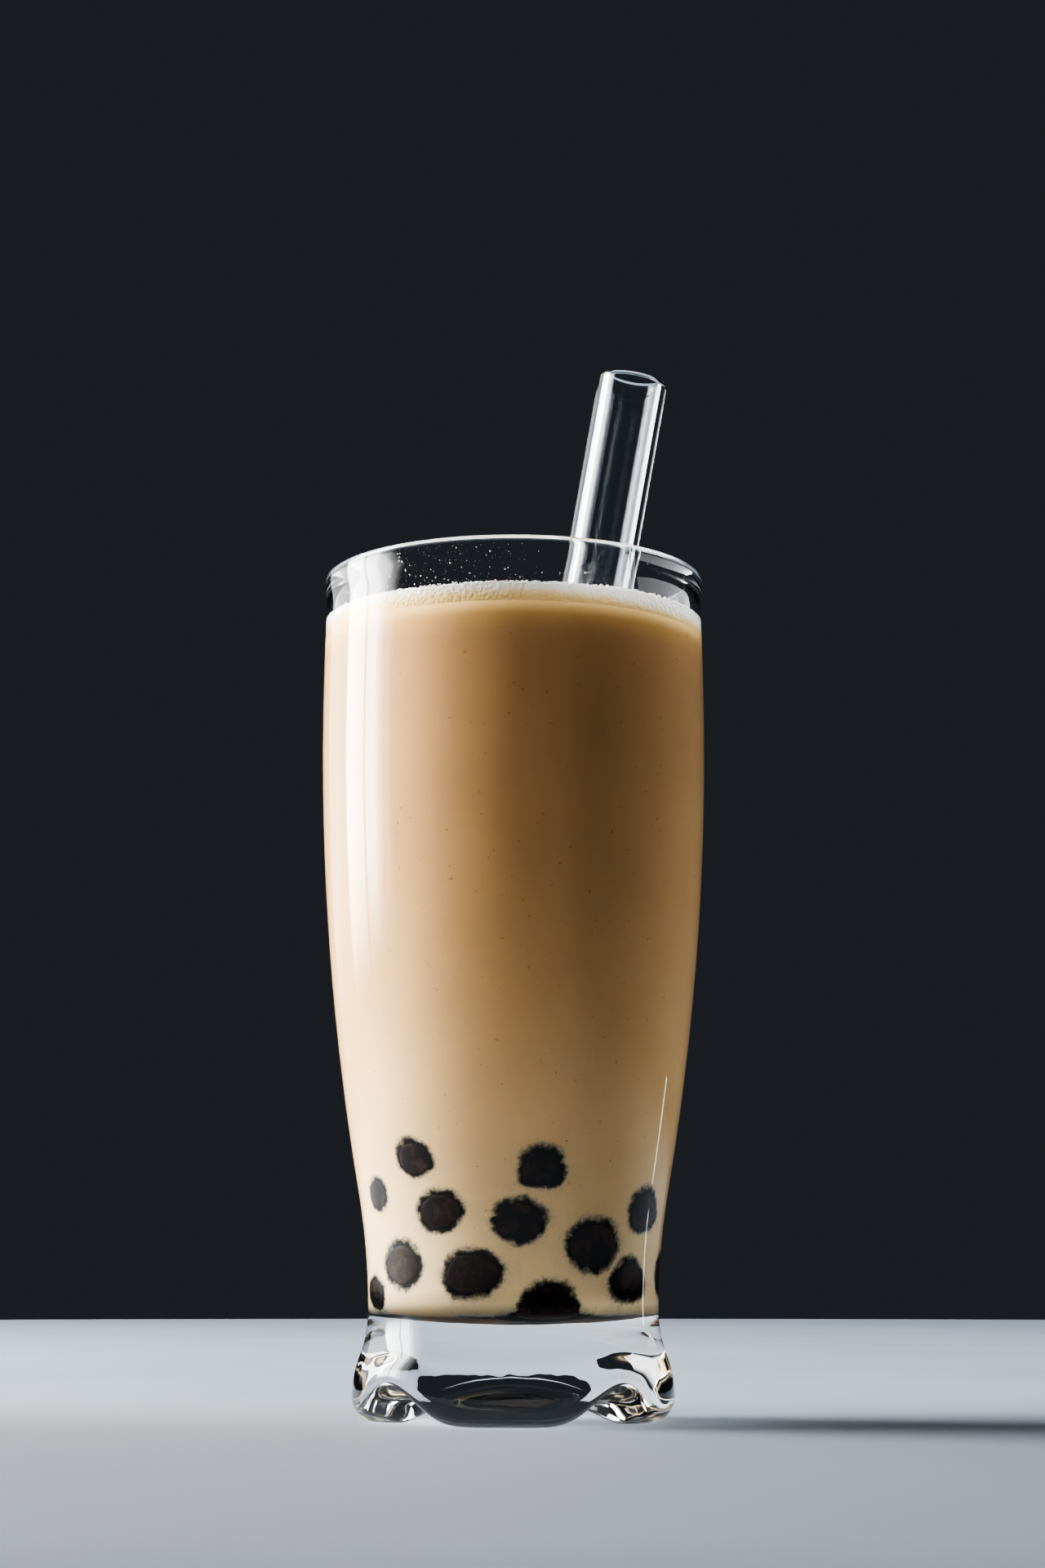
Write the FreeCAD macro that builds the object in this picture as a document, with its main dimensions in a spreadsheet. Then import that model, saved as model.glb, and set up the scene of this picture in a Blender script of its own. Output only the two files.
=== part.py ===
import FreeCAD, Part
import math
import os
import Sketcher

# Milk tea in a footed drinking glass, with a layer of foam and a wide glass straw.
# Millimetres, +Z up. The origin is on the table, under the middle of the glass, and the
# straw leans on the lip at the front right. The nodes are glass, tea, foam and straw.

Vector = FreeCAD.Vector
Rotation = FreeCAD.Rotation
Placement = FreeCAD.Placement

SETTLING_ROUNDS = 6    # rounds in which the straw's lean and its foot settle together
FLATNESS = 0.01        # an edge that rises less than this lies flat

doc = FreeCAD.newDocument("bubble_tea")

# Driving dimensions: each is a cell of the sheet and can be changed by itself.
DRIVING = {
    # outside of the glass
    "glass_height": 160.0,     # table to the top of the lip
    "rim_diameter": 72.0,
    "belly_bulge": 0.7,        # how far the widest circle stands out past the rim
    "belly_drop": 30.6,        # how far the widest circle lies under the lip
    "neck_diameter": 54.2,     # the narrowest circle, just above the foot
    "neck_height": 20.0,
    "neck_curve": 126.0,       # radius of the hollow curve that rises from the neck
    "waist_curve": 22.0,       # radius of the hollow curve that falls from the neck
    "foot_flare": 2.9,         # how far the foot stands out past the neck
    "foot_roundness": 4.6,     # radius of the foot's lower edge
    # wall and base
    "wall_rim": 1.8,
    "wall_belly": 2.0,
    "wall_neck": 2.8,
    "cavity_curve": 120.0,     # radius of the cavity's hollow curve above its floor
    "lip_round": 0.8,          # rounding of the lip, inside and out
    "base_thickness": 17.2,    # table to the cavity's floor, on the axis
    "bowl_curve": 90.0,        # radius of the dished floor
    "bowl_corner": 4.5,        # radius between the floor and the wall
    "punt_diameter": 42.0,     # hollow under the base
    "punt_depth": 6.0,
    # arches that divide the foot's edge into feet
    "arch_count": 4,
    "arch_height": 6.0,
    "arch_width": 26.0,
    "arch_crown": 8.0,         # radius of an arch's top
    "arch_slope": 9.5,         # degrees that an arch falls towards the punt
    "arch_reach": 10.0,        # how near to the axis an arch's cut ends, inside the punt
    "arch_bearing": 41.5,      # degrees from +X to the first arch
    "arch_overrun": 2.0,       # how far outside the foot an arch's cut starts
    # drink
    "head_space": 8.3,         # lip to the top of the foam
    "foam_depth": 3.5,
    "foam_climb": 0.5,         # how far the foam's edge climbs the wall
    "foam_cling": 1.6,         # how wide that climbing edge is
    "drink_gap": 0.2,          # between the drink and what it touches
    # straw
    "straw_diameter": 13.0,
    "straw_wall": 1.75,
    "straw_round": 0.8,        # rounding of the straw's ends
    "straw_length": 176.0,
    "straw_seat_gap": 0.3,     # between the straw and the lip, and the straw and the floor
    "straw_bearing": -52.4,    # degrees from +X to where the straw meets the lip
    "straw_foot_bearing": -124.7,  # degrees from +X to the straw's lower end
    "straw_foot_room": 3.2,    # between the straw's lower end and the wall at the neck
}

# Sizes that follow from the driving ones, as formulas in the same sheet.
DERIVED = {
    "rim_radius": "rim_diameter / 2",
    "belly_radius": "rim_radius + belly_bulge",
    "belly_height": "glass_height - belly_drop",
    "neck_radius": "neck_diameter / 2",
    "foot_radius": "neck_radius + foot_flare",
    "foot_flat": "foot_radius - foot_roundness",
    "cavity_rim": "rim_radius - wall_rim",
    "cavity_belly": "belly_radius - wall_belly",
    "cavity_neck": "neck_radius - wall_neck",
    "shoulder_inset": "cavity_belly - cavity_rim",
    "shoulder_curve": "(belly_drop * belly_drop + shoulder_inset * shoulder_inset)"
                      " / (2 * shoulder_inset)",
    "punt_radius": "punt_diameter / 2",
    "arch_side": "arch_width / 2",
    "arch_bottom": "-arch_height",
    "arch_start": "foot_radius + arch_overrun",
    "arch_depth": "arch_start - arch_reach",
    "foam_top": "glass_height - head_space",
    "tea_level": "foam_top - foam_depth",
    "foam_edge": "foam_top + foam_climb",
    "tea_rise": "tea_level - belly_height",
    "edge_rise": "foam_edge - belly_height",
    "foam_low_radius": "cavity_belly - drink_gap - shoulder_curve"
                       " + sqrt(shoulder_curve * shoulder_curve - tea_rise * tea_rise)",
    "foam_high_radius": "cavity_belly - drink_gap - shoulder_curve"
                        " + sqrt(shoulder_curve * shoulder_curve - edge_rise * edge_rise)",
    "foam_flat_radius": "foam_high_radius - foam_cling",
    "straw_radius": "straw_diameter / 2",
    "straw_bore": "straw_radius - straw_wall",
    "straw_slot": "straw_radius + drink_gap",
    "straw_core": "straw_bore - drink_gap",
    "straw_cut": "straw_length + drink_gap",
    "straw_foot_radius": "cavity_neck - straw_radius - straw_foot_room",
}

sheet = doc.addObject("Spreadsheet::Sheet", "Sizes")
for row, (alias, content) in enumerate([*DRIVING.items(), *DERIVED.items()], start=1):
    sheet.set(f"A{row}", alias)
    sheet.setAlias(f"B{row}", alias)
    sheet.set(f"B{row}", f"={content}" if alias in DERIVED else str(content))
doc.recompute()


def size(alias):
    """A dimension in millimetres or degrees, read back from the sheet."""
    return float(sheet.get(alias))


def arcs_between(low, high, low_radius):
    """Two tangent arcs that join two points where the outline is upright.

    The arc at the low point has the given radius and the two bend opposite ways. With the
    run across and the rise up, half the turn has the tangent across / up, and the radii add
    up to up / sin(turn). Returns the low arc's centre, the junction and the high centre."""
    across = high[0] - low[0]
    up = high[1] - low[1]
    turn = 2 * math.atan2(abs(across), abs(up))
    side = math.copysign(1.0, across)
    rise = math.copysign(1.0, up)
    high_radius = abs(up) / math.sin(turn) - low_radius
    low_centre = (low[0] + side * low_radius, low[1])
    high_centre = (high[0] - side * high_radius, high[1])
    junction = (
        low_centre[0] - side * low_radius * math.cos(turn),
        low_centre[1] + rise * low_radius * math.sin(turn),
    )
    return low_centre, junction, high_centre


def bulge_centre(wide, end):
    """Centre of the arc that is upright at the wide point and passes through the end point."""
    inset = wide[0] - end[0]
    rise = end[1] - wide[1]
    radius = (rise * rise + inset * inset) / (2 * inset)
    return (wide[0] - radius, wide[1])


class Outline:
    """A closed sketch outline of lines and arcs, each piece starting where the last one ended.

    Every corner is held to the sheet by a distance across and a distance up."""

    def __init__(self, body, name, plane="XZ_Plane"):
        self.sketch = body.newObject("Sketcher::SketchObject", name)
        origin = next(item for item in body.Origin.OriginFeatures if item.Role == plane)
        self.sketch.AttachmentSupport = [(origin, "")]
        self.sketch.MapMode = "FlatFace"
        self.pieces = []

    def line(self, start, end):
        edge = Part.LineSegment(Vector(*start, 0), Vector(*end, 0))
        self.pieces.append((self.sketch.addGeometry(edge), 1, 2))

    def arc(self, centre, start, end):
        """The shorter arc about the centre. A sketch stores it anticlockwise."""
        first = math.atan2(start[1] - centre[1], start[0] - centre[0])
        last = math.atan2(end[1] - centre[1], end[0] - centre[0])
        sweep = (last - first) % (2 * math.pi)
        radius = math.dist(centre, start)
        circle = Part.Circle(Vector(*centre, 0), Vector(0, 0, 1), radius)
        if sweep <= math.pi:
            edge = Part.ArcOfCircle(circle, first, first + sweep)
            self.pieces.append((self.sketch.addGeometry(edge), 1, 2))
        else:
            edge = Part.ArcOfCircle(circle, last, last + 2 * math.pi - sweep)
            self.pieces.append((self.sketch.addGeometry(edge), 2, 1))

    def close(self, smooth):
        """Join each piece to the next. A smooth joint, named by its piece, is tangent too."""
        for number, (piece, start, end) in enumerate(self.pieces):
            follower, first, _ = self.pieces[(number + 1) % len(self.pieces)]
            kind = "Tangent" if number in smooth else "Coincident"
            self.sketch.addConstraint(Sketcher.Constraint(kind, piece, end, follower, first))

    def hold(self, number, across=None, up=None, point="end"):
        """Hold a piece's end, start or centre at sizes from the sheet. Zero means an axis."""
        piece, start, end = self.pieces[number]
        spot = {"start": start, "end": end, "centre": 3}[point]
        for kind, axis, formula in (("DistanceX", -2, across), ("DistanceY", -1, up)):
            if formula is None:
                continue
            if formula == 0:
                self.sketch.addConstraint(Sketcher.Constraint("PointOnObject", piece, spot, axis))
                continue
            place = self.sketch.getPoint(piece, spot)
            now = place.x if kind == "DistanceX" else place.y
            rule = self.sketch.addConstraint(Sketcher.Constraint(kind, -1, 1, piece, spot, now))
            self.sketch.setExpression(f"Constraints[{rule}]", formula)

    def level(self, number):
        """Keep an arc's end at the height of its centre, so that the outline is upright there."""
        piece, _, end = self.pieces[number]
        self.sketch.addConstraint(Sketcher.Constraint("Horizontal", piece, 3, piece, end))

    def bend(self, number, formula):
        """Hold an arc's radius at a size from the sheet."""
        piece = self.pieces[number][0]
        now = self.sketch.Geometry[piece].Radius
        rule = self.sketch.addConstraint(Sketcher.Constraint("Radius", piece, now))
        self.sketch.setExpression(f"Constraints[{rule}]", formula)


def turned(body, kind, name, outline):
    """A revolution or groove: the outline turned once round the glass's axis."""
    feature = body.newObject(kind, name)
    feature.Profile = outline.sketch
    feature.ReferenceAxis = (outline.sketch, ["V_Axis"])
    feature.Angle = 360.0
    doc.recompute()
    return feature


def outer_outline(body):
    """Half section of the solid glass, from the middle of its underside round to the lip."""
    foot = (size("foot_radius"), size("foot_roundness"))
    flat = (size("foot_flat"), 0.0)
    neck = (size("neck_radius"), size("neck_height"))
    belly = (size("belly_radius"), size("belly_height"))
    rim = (size("rim_radius"), size("glass_height"))
    waist, waist_end, foot_centre = arcs_between(neck, foot, size("waist_curve"))
    hollow, hollow_end, flare = arcs_between(neck, belly, size("neck_curve"))

    outline = Outline(body, "outer_outline")
    outline.line((0.0, 0.0), flat)
    outline.arc((flat[0], foot[1]), flat, foot)
    outline.arc(foot_centre, foot, waist_end)
    outline.arc(waist, waist_end, neck)
    outline.arc(hollow, neck, hollow_end)
    outline.arc(flare, hollow_end, belly)
    outline.arc(bulge_centre(belly, rim), belly, rim)
    outline.line(rim, (0.0, rim[1]))
    outline.line((0.0, rim[1]), (0.0, 0.0))
    outline.close(smooth=(2, 4))
    outline.hold(0, across=0, up=0, point="start")
    outline.hold(0, "Sizes.foot_flat", 0)
    outline.hold(1, "Sizes.foot_radius", "Sizes.foot_roundness")
    outline.hold(1, up="Sizes.foot_roundness", point="centre")
    outline.hold(2, up="Sizes.foot_roundness", point="centre")
    outline.bend(3, "Sizes.waist_curve")
    outline.hold(3, "Sizes.neck_radius", "Sizes.neck_height")
    outline.hold(3, up="Sizes.neck_height", point="centre")
    outline.hold(4, up="Sizes.neck_height", point="centre")
    outline.bend(4, "Sizes.neck_curve")
    outline.hold(5, "Sizes.belly_radius", "Sizes.belly_height")
    outline.hold(5, up="Sizes.belly_height", point="centre")
    outline.hold(6, "Sizes.rim_radius", "Sizes.glass_height")
    outline.hold(6, up="Sizes.belly_height", point="centre")
    outline.hold(7, 0, "Sizes.glass_height")
    return outline


def bowl_corner(room):
    """Centre of the corner's arc, where it meets the dished floor, and the floor's centre.

    The floor and the corner touch from inside, so their centres are as far apart as their
    radii differ. The room is kept clear of the wall and the floor."""
    floor_centre = (0.0, size("base_thickness") + room + size("bowl_curve"))
    across = size("cavity_neck") - room - size("bowl_corner")
    reach = size("bowl_curve") - size("bowl_corner")
    corner = (across, floor_centre[1] - math.sqrt(reach**2 - across**2))
    stretch = size("bowl_curve") / reach
    drop = (corner[1] - floor_centre[1]) * stretch
    return corner, (across * stretch, floor_centre[1] + drop), floor_centre


def floor_height(out):
    """Height of the cavity's floor at a distance from the axis, up its corner too."""
    corner, meeting, floor_centre = bowl_corner(0.0)
    if out <= meeting[0]:
        return floor_centre[1] - math.sqrt(size("bowl_curve")**2 - out**2)
    return corner[1] - math.sqrt(size("bowl_corner")**2 - (out - corner[0])**2)


def cavity_outline(body, name, gap, top):
    """Half section of the space inside the glass, kept the gap clear of its wall and floor.

    The dished floor runs into a rounded corner, then the wall rises in a hollow curve and a
    long bulge to the belly, and leans in a little up to the height named by top."""
    room = size(gap) if gap else 0.0
    less = f" - Sizes.{gap}" if gap else ""
    more = f" + Sizes.{gap}" if gap else ""
    corner, meeting, bowl = bowl_corner(room)
    floor = (0.0, size("base_thickness") + room)
    knee = (size("cavity_neck") - room, corner[1])
    belly = (size("cavity_belly") - room, size("belly_height"))
    rim = (size("cavity_rim") - room, size("glass_height"))
    shoulder = bulge_centre(belly, rim)
    end_y = size(top)
    drop = math.dist(shoulder, belly)**2 - (end_y - shoulder[1])**2
    end = (shoulder[0] + math.sqrt(drop), end_y)
    hollow, hollow_end, flare = arcs_between(knee, belly, size("cavity_curve"))

    outline = Outline(body, name)
    outline.arc(bowl, floor, meeting)
    outline.arc(corner, meeting, knee)
    outline.arc(hollow, knee, hollow_end)
    outline.arc(flare, hollow_end, belly)
    outline.arc(shoulder, belly, end)
    outline.line(end, (0.0, end_y))
    outline.line((0.0, end_y), floor)
    outline.close(smooth=(0, 1, 2))
    outline.hold(0, 0, "Sizes.base_thickness" + more, point="start")
    outline.hold(0, across=0, point="centre")
    outline.bend(0, "Sizes.bowl_curve")
    outline.bend(1, "Sizes.bowl_corner")
    outline.hold(1, across="Sizes.cavity_neck" + less)
    outline.level(1)
    outline.bend(2, "Sizes.cavity_curve")
    outline.hold(3, "Sizes.cavity_belly" + less, "Sizes.belly_height")
    outline.hold(3, up="Sizes.belly_height", point="centre")
    outline.hold(4, up="Sizes.belly_height", point="centre")
    outline.bend(4, "Sizes.shoulder_curve")
    outline.hold(4, up=f"Sizes.{top}")
    outline.hold(5, 0, f"Sizes.{top}")
    return outline


def punt_outline(body):
    """Half section of the shallow dome under the base."""
    edge = (size("punt_radius"), 0.0)
    crown = (0.0, size("punt_depth"))
    radius = (edge[0]**2 + crown[1]**2) / (2 * crown[1])
    outline = Outline(body, "punt_outline")
    outline.line((0.0, 0.0), edge)
    outline.arc((0.0, crown[1] - radius), edge, crown)
    outline.line(crown, (0.0, 0.0))
    outline.close(smooth=())
    outline.hold(0, across=0, up=0, point="start")
    outline.hold(0, "Sizes.punt_radius", 0)
    outline.hold(1, 0, "Sizes.punt_depth")
    outline.hold(1, across=0, point="centre")
    return outline


def arch_outline(body):
    """The opening between two feet, seen from outside: a round crown with flared sides.

    The sketch stands upright outside the foot, leans by the arch's slope and faces along the
    arch's bearing, so a cut from it runs inwards and down towards the punt."""
    crown_radius = size("arch_crown")
    across = size("arch_side")
    height = size("arch_height")
    turn = 2 * math.atan2(height, across)
    flare_radius = across / math.sin(turn) - crown_radius
    crown = (0.0, height - crown_radius)
    outline = Outline(body, "arch_outline")

    def joint(side):
        return (
            side * crown_radius * math.sin(turn),
            crown[1] + crown_radius * math.cos(turn),
        )

    low = -height
    outline.arc((across, flare_radius), joint(1), (across, 0.0))
    outline.line((across, 0.0), (across, low))
    outline.line((across, low), (-across, low))
    outline.line((-across, low), (-across, 0.0))
    outline.arc((-across, flare_radius), (-across, 0.0), joint(-1))
    outline.arc(crown, joint(-1), joint(1))
    outline.close(smooth=(4, 5))
    outline.hold(0, "Sizes.arch_side", 0)
    outline.hold(0, across="Sizes.arch_side", point="centre")
    outline.hold(1, "Sizes.arch_side", "Sizes.arch_bottom")
    outline.hold(2, "-Sizes.arch_side", "Sizes.arch_bottom")
    outline.hold(3, "-Sizes.arch_side", 0)
    outline.hold(4, across="-Sizes.arch_side", point="centre")
    outline.bend(5, "Sizes.arch_crown")
    outline.hold(5, across=0, point="centre")
    rule = outline.sketch.addConstraint(
        Sketcher.Constraint("DistanceY", -1, 1, outline.pieces[5][0], 3, crown[1])
    )
    outline.sketch.setExpression(f"Constraints[{rule}]", "Sizes.arch_height - Sizes.arch_crown")

    # The plane faces -Y, so a turn about its own upright axis brings it to the bearing.
    facing = size("arch_bearing") + 90.0
    turn_to_bearing = Rotation(Vector(0, 1, 0), facing)
    lean = Rotation(Vector(1, 0, 0), -size("arch_slope"))
    place = turn_to_bearing.multVec(Vector(0, 0, size("arch_start")))
    outline.sketch.AttachmentOffset = Placement(place, turn_to_bearing * lean)
    return outline


def rounded(body, feature, name, edges, radius):
    """A fillet on the listed edges of the body's last feature."""
    fillet = body.newObject("PartDesign::Fillet", name)
    fillet.Base = (feature, edges)
    fillet.setExpression("Radius", radius)
    doc.recompute()
    return fillet


def edges_where(feature, wanted):
    """Names of the feature's edges that pass the test."""
    edges = enumerate(feature.Shape.Edges, start=1)
    return [f"Edge{number}" for number, edge in edges if wanted(edge)]


def make_glass():
    """The glass, turned, hollowed, dished underneath, cut into feet and rounded at the lip."""
    body = doc.addObject("PartDesign::Body", "glass")
    turned(body, "PartDesign::Revolution", "blank", outer_outline(body))
    cavity = cavity_outline(body, "cavity_outline", gap=None, top="glass_height")
    turned(body, "PartDesign::Groove", "cavity", cavity)
    turned(body, "PartDesign::Groove", "punt", punt_outline(body))

    arch = body.newObject("PartDesign::Pocket", "arch")
    arch.Profile = arch_outline(body).sketch
    arch.Type = "Length"
    arch.setExpression("Length", "Sizes.arch_depth")
    doc.recompute()
    feet = body.newObject("PartDesign::PolarPattern", "feet")
    feet.Originals = [arch]
    axis = next(item for item in body.Origin.OriginFeatures if item.Role == "Z_Axis")
    feet.Axis = (axis, [""])
    feet.Angle = 360.0
    feet.setExpression("Occurrences", "Sizes.arch_count")
    body.Tip = feet
    doc.recompute()

    top = size("glass_height")

    def on_lip(edge):
        return edge.BoundBox.ZMin > top - FLATNESS and len(edge.Vertexes) == 1

    lip = rounded(body, feet, "lip", edges_where(feet, on_lip), "Sizes.lip_round")
    body.Tip = lip
    return body


def around(bearing, out, up=0.0):
    """The point at a bearing in degrees, a distance from the axis and a height."""
    angle = math.radians(bearing)
    return Vector(out * math.cos(angle), out * math.sin(angle), up)


def straw_stance():
    """Where the straw's lower end rests and which way it points.

    It leans on the inside of the lip at its bearing. Its end is tilted with it, and the foot
    is as low as the end's circle can be with its gap above the floor all the way round."""
    radius = size("straw_radius")
    gap = size("straw_seat_gap")
    top = size("glass_height")
    foot = around(size("straw_foot_bearing"), size("straw_foot_radius"), size("base_thickness"))
    seat = size("cavity_rim") - radius - gap
    for _ in range(SETTLING_ROUNDS):
        axis = (around(size("straw_bearing"), seat, top) - foot).normalize()
        stand = Placement(foot, Rotation(Vector(0, 0, 1), axis))
        seat = size("cavity_rim") - radius / axis.z - gap
        end = [stand.multVec(around(bearing, radius)) for bearing in range(0, 360, 5)]
        foot.z += gap + max(floor_height(math.hypot(spot.x, spot.y)) - spot.z for spot in end)
    return stand, axis


def make_straw(stance):
    """A straight tube with rounded ends, built upright and then leaned."""
    body = doc.addObject("PartDesign::Body", "straw")
    ring = Outline(body, "ring", "XY_Plane").sketch
    for radius in ("straw_radius", "straw_bore"):
        circle = Part.Circle(Vector(0, 0, 0), Vector(0, 0, 1), size(radius))
        number = ring.addGeometry(circle)
        ring.addConstraint(Sketcher.Constraint("Coincident", number, 3, -1, 1))
        rule = ring.addConstraint(Sketcher.Constraint("Radius", number, size(radius)))
        ring.setExpression(f"Constraints[{rule}]", f"Sizes.{radius}")
    tube = body.newObject("PartDesign::Pad", "tube")
    tube.Profile = ring
    tube.setExpression("Length", "Sizes.straw_length")
    doc.recompute()

    def at_an_end(edge):
        return edge.BoundBox.ZLength < FLATNESS

    ends = rounded(body, tube, "ends", edges_where(tube, at_an_end), "Sizes.straw_round")
    body.Tip = ends
    body.Placement = stance
    return body


def leaned_cylinder(name, radius, stance, axis):
    """A cylinder along the straw, starting the drink's gap below the straw's lower end."""
    cylinder = doc.addObject("Part::Cylinder", name)
    cylinder.setExpression("Radius", f"Sizes.{radius}")
    cylinder.setExpression("Height", "Sizes.straw_cut")
    cylinder.Placement = Placement(stance.Base - axis * size("drink_gap"), stance.Rotation)
    return cylinder


def foam_outline(body):
    """Half section of the foam: a flat layer whose edge climbs the wall in a small curve."""
    low = (size("foam_low_radius"), size("tea_level"))
    high = (size("foam_high_radius"), size("foam_edge"))
    flat = (size("foam_flat_radius"), size("foam_top"))
    climb_radius = (size("foam_cling")**2 + size("foam_climb")**2) / (2 * size("foam_climb"))
    outline = Outline(body, "foam_outline")
    outline.line((0.0, low[1]), low)
    outline.line(low, high)
    outline.arc((flat[0], flat[1] + climb_radius), high, flat)
    outline.line(flat, (0.0, flat[1]))
    outline.line((0.0, flat[1]), (0.0, low[1]))
    outline.close(smooth=())
    outline.hold(0, 0, "Sizes.tea_level", point="start")
    outline.hold(0, "Sizes.foam_low_radius", "Sizes.tea_level")
    outline.hold(1, "Sizes.foam_high_radius", "Sizes.foam_edge")
    outline.hold(2, "Sizes.foam_flat_radius", "Sizes.foam_top")
    outline.hold(2, across="Sizes.foam_flat_radius", point="centre")
    outline.hold(3, 0, "Sizes.foam_top")
    return outline


def make_drink(stance, axis):
    """Tea up to its level, round the straw and inside it, and foam on it round the straw."""
    fill = doc.addObject("PartDesign::Body", "tea_fill")
    outline = cavity_outline(fill, "tea_outline", gap="drink_gap", top="tea_level")
    turned(fill, "PartDesign::Revolution", "tea_turned", outline)
    slot = doc.addObject("Part::Cut", "straw_slot")
    slot.Base = leaned_cylinder("slot_outside", "straw_slot", stance, axis)
    slot.Tool = leaned_cylinder("slot_core", "straw_core", stance, axis)
    tea = doc.addObject("Part::Cut", "tea")
    tea.Base = fill
    tea.Tool = slot

    layer = doc.addObject("PartDesign::Body", "foam_fill")
    turned(layer, "PartDesign::Revolution", "foam_turned", foam_outline(layer))
    foam = doc.addObject("Part::Cut", "foam")
    foam.Base = layer
    foam.Tool = leaned_cylinder("foam_slot", "straw_slot", stance, axis)
    doc.recompute()
    return tea, foam


glass = make_glass()
stance, straw_axis = straw_stance()
straw = make_straw(stance)
tea, foam = make_drink(stance, straw_axis)
doc.recompute()

for item in doc.Objects:
    if "Invalid" in item.State or "Error" in item.State:
        raise RuntimeError(f"{item.Name} did not recompute: {item.State}")

os.makedirs("parts", exist_ok=True)
for item in (glass, tea, foam, straw):
    shape = item.Shape
    if shape.isNull() or not shape.isValid() or len(shape.Solids) != 1:
        raise RuntimeError(f"{item.Label} is not one valid solid")
    shape.exportStep(f"parts/{item.Label}.step")
    print(f"{item.Label}: {shape.Volume / 1000:.2f} ml")
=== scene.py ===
import math

import bpy
import numpy as np
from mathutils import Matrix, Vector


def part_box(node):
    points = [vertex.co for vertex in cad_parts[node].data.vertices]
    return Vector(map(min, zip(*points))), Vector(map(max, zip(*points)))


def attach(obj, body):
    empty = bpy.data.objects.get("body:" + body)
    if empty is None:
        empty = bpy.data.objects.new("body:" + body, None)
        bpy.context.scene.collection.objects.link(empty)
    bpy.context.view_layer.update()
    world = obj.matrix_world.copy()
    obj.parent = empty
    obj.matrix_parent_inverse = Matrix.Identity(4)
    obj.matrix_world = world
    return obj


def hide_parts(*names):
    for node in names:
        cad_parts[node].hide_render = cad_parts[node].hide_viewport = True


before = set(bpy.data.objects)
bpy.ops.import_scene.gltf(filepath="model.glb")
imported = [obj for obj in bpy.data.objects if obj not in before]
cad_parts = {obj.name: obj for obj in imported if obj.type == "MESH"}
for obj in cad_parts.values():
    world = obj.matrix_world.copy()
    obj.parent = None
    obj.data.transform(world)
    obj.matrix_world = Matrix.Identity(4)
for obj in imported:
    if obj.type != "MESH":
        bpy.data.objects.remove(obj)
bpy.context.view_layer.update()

# Milk tea with pearls in a footed glass, with foam and a wide glass straw.
# Shapes are worked out in millimetres, +Z up, and written to the meshes in metres. A bearing is
# in degrees round the axis from the front, which is -Y, towards +X.

MM = 0.001

# glass
GLASS_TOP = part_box("glass")[1].z / MM
RIM = 36.0
BELLY = 36.7
BELLY_HEIGHT = GLASS_TOP - 30.6
NECK = 27.1
NECK_HEIGHT = 20.0
NECK_CURVE = 126.0
WAIST_CURVE = 22.0
FOOT = 30.0
FOOT_ROUND = 4.6
LIP_BEAD = 0.6             # how far the fire-polished lip stands out past the wall under it
LIP_ROUND = 1.2
LIP_BEAD_RUN = 4.5         # height over which the bead grows out of the wall
CAVITY_RIM = 34.2
CAVITY_BELLY = 34.7
CAVITY_NECK = 24.3
CAVITY_CURVE = 120.0
FLOOR_HEIGHT = 17.2
FLOOR_CURVE = 90.0
FLOOR_CORNER = 4.5
PUNT = 21.0
PUNT_DEPTH = 6.0
PUNT_SOFTNESS = 0.6
PUNT_SINK = 0.03           # lowers the softened dome so that its edge runs out on the table
ARCH_HEIGHT = 6.0
ARCH_NARROWNESS = 8
ARCH_SLOPE = math.tan(math.radians(9.5))
ARCH_FADE = 16.0           # height at which the wall no longer follows the feet
MELT = 1.5                 # how far the dome and the arches melt into one another
MELT_END = 24.0            # distance from the axis past which they meet in an edge
FEET = 4
FIRST_FOOT = 86.5          # bearing of a foot's middle
# drink
TEA_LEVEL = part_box("tea")[1].z / MM
FOAM_TOP = TEA_LEVEL + 2.7
FOAM_EDGE = FOAM_TOP + 0.5
FOAM_SKIRT = 1.4           # how far the foam runs down the wall into the tea
FOAM_CLING = 1.6           # width of the foam's climb at the wall
FOAM_TUCK = 0.3            # how far the foam runs down the straw into the tea
WETTING = 0.15             # how far the drink reaches into what it touches
# straw
STRAW = 6.5
STRAW_BORE = 4.75
STRAW_ROUND = 0.8
STRAW_LENGTH = 176.0
STRAW_GAP = 0.3
STRAW_BEARING = 37.6
STRAW_FOOT_BEARING = -34.7
STRAW_FOOT_ROOM = 3.2
STANCE_ROUNDS = 6
STRAW_COLUMNS = 96


# ---------------------------------------------------------------- outlines

def hollow_then_bulge(along, across, reach, curve):
    """Sideways offset of two tangent arcs at a distance along: the first arc has the given
    curve and bends away, the second bends back and is parallel again at the reach.
    Half the turn has the tangent across / reach, and the radii add up to reach / sin(turn)."""
    turn = 2 * math.atan2(across, reach)
    far_curve = reach / math.sin(turn) - curve
    near = curve - np.sqrt(np.maximum(curve**2 - along**2, 0))
    far = across - far_curve + np.sqrt(np.maximum(far_curve**2 - (reach - along)**2, 0))
    return np.where(along < curve * math.sin(turn), near, far)


def shoulder(height, belly, rim):
    """Radius above the belly: an arc that is upright at the belly and passes through the rim."""
    rise = GLASS_TOP - BELLY_HEIGHT
    curve = (rise**2 + (belly - rim)**2) / (2 * (belly - rim))
    return belly - curve + np.sqrt(curve**2 - (height - BELLY_HEIGHT)**2)


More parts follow.
